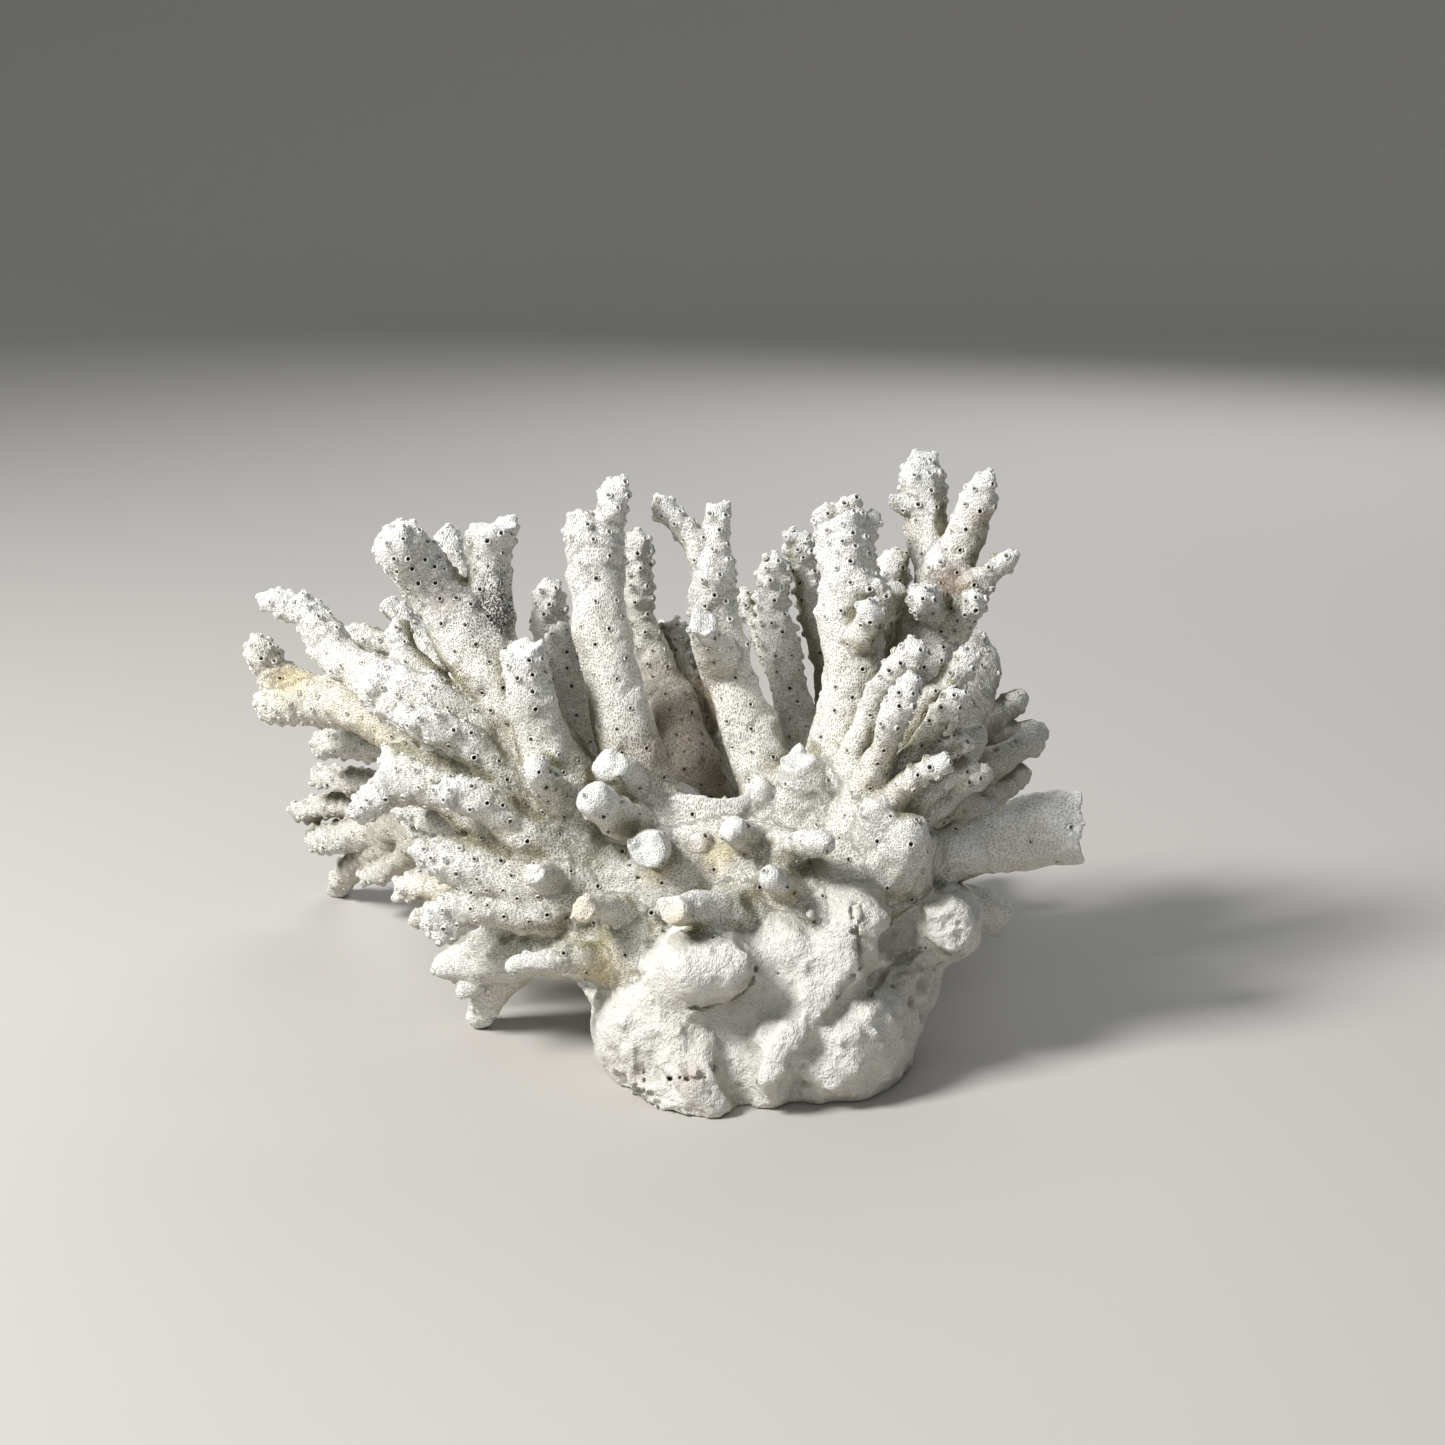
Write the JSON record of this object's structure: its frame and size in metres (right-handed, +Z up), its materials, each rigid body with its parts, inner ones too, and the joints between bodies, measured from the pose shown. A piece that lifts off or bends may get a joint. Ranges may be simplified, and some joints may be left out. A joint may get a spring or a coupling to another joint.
{
  "type": "branching coral",
  "caption": "Bleached branching stony coral skeleton that rests on the flat cut of its holdfast, with knobbly upright and sideways branches.",
  "frame": {"origin": "middle of the coral's outline seen from above, on the surface that it rests on", "axes": "+Z up, +Y away from the broken front of the holdfast, +X to the right as the front is seen"},
  "size_m": [0.1654, 0.1338, 0.1095],
  "materials": {
    "chalk": "bleached coral stone, fine granular pits, matt",
    "bone": "bleached coral stone with a light cream stain, matt",
    "cream": "coral stone with a yellowish stain, matt",
    "dusty": "coral stone, greyer and dustier at the rear, matt"
  },
  "bodies": {
    "root": {"holdfast": "chalk", "crown": "chalk", "tall_left_branch": "chalk", "upper_left_limb": "chalk", "left_blade": "chalk", "left_wing_tip": "chalk", "far_left_limb": "cream", "far_left_twig": "bone", "left_low_limb": "chalk", "left_fringe": "chalk", "left_fringe_rear": "cream", "foot_branch": "bone", "rear_left_limb": "dusty", "tall_centre_branch": "chalk", "rear_centre_right_branch": "bone", "rear_right_twig": "bone", "rear_centre_left_branch": "dusty", "rear_left_pair": "bone", "right_centre_limb": "chalk", "right_tall_limb": "chalk", "right_finger_cluster": "chalk", "right_rear_plate": "dusty", "right_stub": "chalk", "right_low_stub": "bone", "rear_low_left_limb": "dusty", "rear_middle_limb": "dusty", "rear_right_limb": "dusty"}
  },
  "joints": []
}
